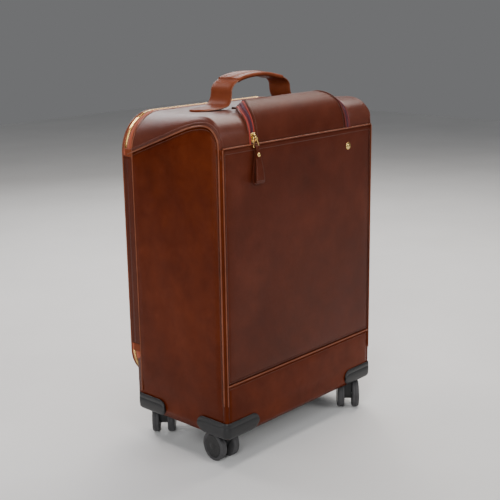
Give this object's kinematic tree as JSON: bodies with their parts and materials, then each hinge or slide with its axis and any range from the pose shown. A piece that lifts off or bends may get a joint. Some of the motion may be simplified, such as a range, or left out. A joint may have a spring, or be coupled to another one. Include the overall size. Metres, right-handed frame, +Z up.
{
  "type": "rolling flight case",
  "caption": "Upright leather rolling case with rear zipped lid, front slip pocket, zipped top flap, carry handle, telescopic handle and twin-wheel casters.",
  "frame": {"origin": "centre of the bounding box's base, on the floor under the case", "axes": "+Z up, -Y the front with the slip pocket, +Y the lid, +X to the right seen from the front"},
  "size_m": [0.377, 0.2442, 0.6095],
  "materials": {
    "leather_side": "smooth semi-gloss cognac leather",
    "leather_dark": "pebbled satin red-brown leather",
    "leather_tan": "smooth cognac strap leather, painted edges",
    "piping_leather": "copper-brown piping",
    "lining_cloth": "woven lining",
    "zip_tape": "woven zip tape",
    "brass": "polished",
    "black_plastic": "satin moulded",
    "tube_alloy": "brushed",
    "button_metal": "satin",
    "axle_steel": "turned",
    "wheel_rubber": "matt"
  },
  "bodies": {
    "case": {"side_panel_left": "leather_side", "side_panel_right": "leather_side", "top_wrap": "leather_dark", "front_wall": "lining_cloth", "pocket_panel": "leather_dark", "pocket_edges": "leather_dark", "lower_front_panel": "leather_side", "piping": "piping_leather", "snap_stud": "brass", "base_board": "black_plastic", "rear_frame": "leather_dark", "case_zip": "zip_tape", "zip_end_tabs": "leather_tan", "hinge_strip": "leather_dark", "channel_walls": "lining_cloth", "handle_bezel": "black_plastic", "outer_tubes": "tube_alloy", "tube_foot": "black_plastic", "corner_guards": "black_plastic", "carry_handle": "leather_tan", "grip_wrap": "leather_tan", "main_lining": "lining_cloth", "flap_zip_case": "zip_tape"},
    "lid": {"lid_shell": "leather_side", "lid_piping": "piping_leather", "lid_zip": "zip_tape", "lid_lining": "lining_cloth", "lid_hinge_strip": "leather_dark"},
    "upper_zip_slider": {"upper_slider": "brass"},
    "upper_zip_pull": {"upper_pull": "brass"},
    "lower_zip_slider": {"lower_slider": "brass"},
    "lower_zip_pull": {"lower_pull": "brass"},
    "flap": {"flap_panel": "leather_dark", "flap_zip": "zip_tape"},
    "flap_zip_slider": {"flap_slider": "brass"},
    "flap_zip_ring": {"flap_ring": "brass"},
    "flap_zip_puller": {"flap_puller": "leather_dark", "puller_rivet": "brass"},
    "mid_stage": {"mid_tubes": "tube_alloy", "tube_collars": "black_plastic"},
    "top_stage": {"inner_tubes": "tube_alloy", "trolley_grip": "black_plastic"},
    "button": {"release_button": "button_metal"},
    "caster_front_left": {"fork_front_left": "black_plastic", "axle_front_left": "axle_steel"},
    "wheel_front_left_in": {"wheel_front_left_in": "wheel_rubber"},
    "wheel_front_left_out": {"wheel_front_left_out": "wheel_rubber"},
    "caster_front_right": {"fork_front_right": "black_plastic", "axle_front_right": "axle_steel"},
    "wheel_front_right_in": {"wheel_front_right_in": "wheel_rubber"},
    "wheel_front_right_out": {"wheel_front_right_out": "wheel_rubber"},
    "caster_rear_left": {"fork_rear_left": "black_plastic", "axle_rear_left": "axle_steel"},
    "wheel_rear_left_in": {"wheel_rear_left_in": "wheel_rubber"},
    "wheel_rear_left_out": {"wheel_rear_left_out": "wheel_rubber"},
    "caster_rear_right": {"fork_rear_right": "black_plastic", "axle_rear_right": "axle_steel"},
    "wheel_rear_right_in": {"wheel_rear_right_in": "wheel_rubber"},
    "wheel_rear_right_out": {"wheel_rear_right_out": "wheel_rubber"}
  },
  "joints": [
    {"name": "lid_hinge", "type": "hinge", "parent": "case", "child": "lid", "pos_m": [-0.187, 0.10325, 0.323], "axis": [0, 0, 1], "range_deg": [0, 115]},
    {"name": "flap_hinge", "type": "hinge", "parent": "case", "child": "flap", "pos_m": [0, -0.106, 0.513], "axis": [1, 0, 0], "range_deg": [0, 55]},
    {"name": "flap_zip_run", "type": "hinge", "parent": "case", "child": "flap_zip_slider", "pos_m": [-0.1175, -0.066, 0.5177], "axis": [-1, 0, 0], "range_deg": [0, 62]},
    {"name": "flap_ring_swing", "type": "hinge", "parent": "flap_zip_slider", "child": "flap_zip_ring", "pos_m": [-0.1175, -0.1165, 0.522], "axis": [-1, 0, 0], "range_deg": [0, 80]},
    {"name": "flap_puller_swing", "type": "hinge", "parent": "flap_zip_ring", "child": "flap_zip_puller", "pos_m": [-0.1175, -0.1165, 0.508], "axis": [-1, 0, 0], "range_deg": [0, 80]},
    {"name": "upper_zip_run", "type": "slide", "parent": "lid", "child": "upper_zip_slider", "axis": [0, 0, 1], "range_m": [0, 0.14]},
    {"name": "upper_pull_swing", "type": "hinge", "parent": "upper_zip_slider", "child": "upper_zip_pull", "pos_m": [0.1874, 0.10325, 0.309], "axis": [0, -1, 0], "range_deg": [0, 90]},
    {"name": "lower_zip_run", "type": "slide", "parent": "lid", "child": "lower_zip_slider", "axis": [0, 0, -1], "range_m": [0, 0.11]},
    {"name": "lower_pull_swing", "type": "hinge", "parent": "lower_zip_slider", "child": "lower_zip_pull", "pos_m": [0.1874, 0.10325, 0.2876], "axis": [0, -1, 0], "range_deg": [0, 90]},
    {"name": "mid_stage_slide", "type": "slide", "parent": "case", "child": "mid_stage", "axis": [0, 0, 1], "range_m": [0, 0.21]},
    {"name": "top_stage_slide", "type": "slide", "parent": "mid_stage", "child": "top_stage", "axis": [0, 0, 1], "range_m": [0, 0.21]},
    {"name": "release_button_press", "type": "slide", "parent": "top_stage", "child": "button", "axis": [0, 0, -1], "range_m": [0, 0.003], "stiffness_N_per_m": 400, "springref_m": -0.002},
    {"name": "swivel_front_left", "type": "hinge", "parent": "case", "child": "caster_front_left", "pos_m": [-0.1577, -0.0845, 0.03], "axis": [0, 0, 1], "continuous": true},
    {"name": "roll_front_left_in", "type": "hinge", "parent": "caster_front_left", "child": "wheel_front_left_in", "pos_m": [-0.15603, -0.06859, 0.0245], "axis": [-0.9945, 0.1045, 0], "continuous": true},
    {"name": "roll_front_left_out", "type": "hinge", "parent": "caster_front_left", "child": "wheel_front_left_out", "pos_m": [-0.15603, -0.06859, 0.0245], "axis": [-0.9945, 0.1045, 0], "continuous": true},
    {"name": "swivel_front_right", "type": "hinge", "parent": "case", "child": "caster_front_right", "pos_m": [0.1577, -0.0845, 0.03], "axis": [0, 0, 1], "continuous": true},
    {"name": "roll_front_right_in", "type": "hinge", "parent": "caster_front_right", "child": "wheel_front_right_in", "pos_m": [0.14581, -0.09521, 0.0245], "axis": [0.6691, -0.7431, 0], "continuous": true},
    {"name": "roll_front_right_out", "type": "hinge", "parent": "caster_front_right", "child": "wheel_front_right_out", "pos_m": [0.14581, -0.09521, 0.0245], "axis": [0.6691, -0.7431, 0], "continuous": true},
    {"name": "swivel_rear_left", "type": "hinge", "parent": "case", "child": "caster_rear_left", "pos_m": [-0.1577, 0.0685, 0.03], "axis": [0, 0, 1], "continuous": true},
    {"name": "roll_rear_left_in", "type": "hinge", "parent": "caster_rear_left", "child": "wheel_rear_left_in", "pos_m": [-0.146, 0.07941, 0.0245], "axis": [-0.682, 0.7314, 0], "continuous": true},
    {"name": "roll_rear_left_out", "type": "hinge", "parent": "caster_rear_left", "child": "wheel_rear_left_out", "pos_m": [-0.146, 0.07941, 0.0245], "axis": [-0.682, 0.7314, 0], "continuous": true},
    {"name": "swivel_rear_right", "type": "hinge", "parent": "case", "child": "caster_rear_right", "pos_m": [0.1577, 0.0685, 0.03], "axis": [0, 0, 1], "continuous": true},
    {"name": "roll_rear_right_in", "type": "hinge", "parent": "caster_rear_right", "child": "wheel_rear_right_in", "pos_m": [0.15437, 0.08415, 0.0245], "axis": [-0.9781, -0.2079, 0], "continuous": true},
    {"name": "roll_rear_right_out", "type": "hinge", "parent": "caster_rear_right", "child": "wheel_rear_right_out", "pos_m": [0.15437, 0.08415, 0.0245], "axis": [-0.9781, -0.2079, 0], "continuous": true}
  ]
}
